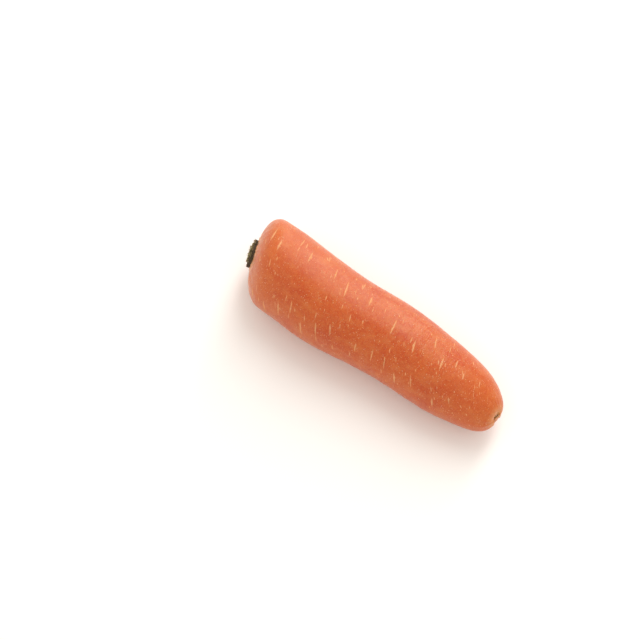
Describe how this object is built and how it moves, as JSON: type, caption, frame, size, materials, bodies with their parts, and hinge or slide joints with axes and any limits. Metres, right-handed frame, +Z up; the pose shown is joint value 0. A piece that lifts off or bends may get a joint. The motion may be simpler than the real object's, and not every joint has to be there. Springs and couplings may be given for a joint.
{
  "type": "carrot",
  "caption": "Fresh topped carrot with a blunt tip and short cut leaf stalks in its crown, lying on its side, as food or as a market or kitchen prop.",
  "frame": {"origin": "middle of the bounding box's underside, on the surface the carrot lies on", "axes": "+X from the crown towards the tip, along the root; +Y to the side the root bows towards; +Z up as it lies"},
  "size_m": [0.1738, 0.0524, 0.0519],
  "materials": {
    "root_skin": "satin",
    "fresh_stalk": "matte",
    "dry_stalk": "matte"
  },
  "bodies": {
    "root": {"root": "root_skin", "heart_bud": "fresh_stalk", "leaf_stalk_1": "fresh_stalk", "leaf_stalk_2": "fresh_stalk", "leaf_stalk_3": "fresh_stalk", "leaf_stalk_4": "fresh_stalk", "leaf_stalk_5": "fresh_stalk", "leaf_stalk_6": "dry_stalk", "leaf_stalk_7": "dry_stalk", "leaf_stalk_8": "dry_stalk"}
  },
  "joints": []
}
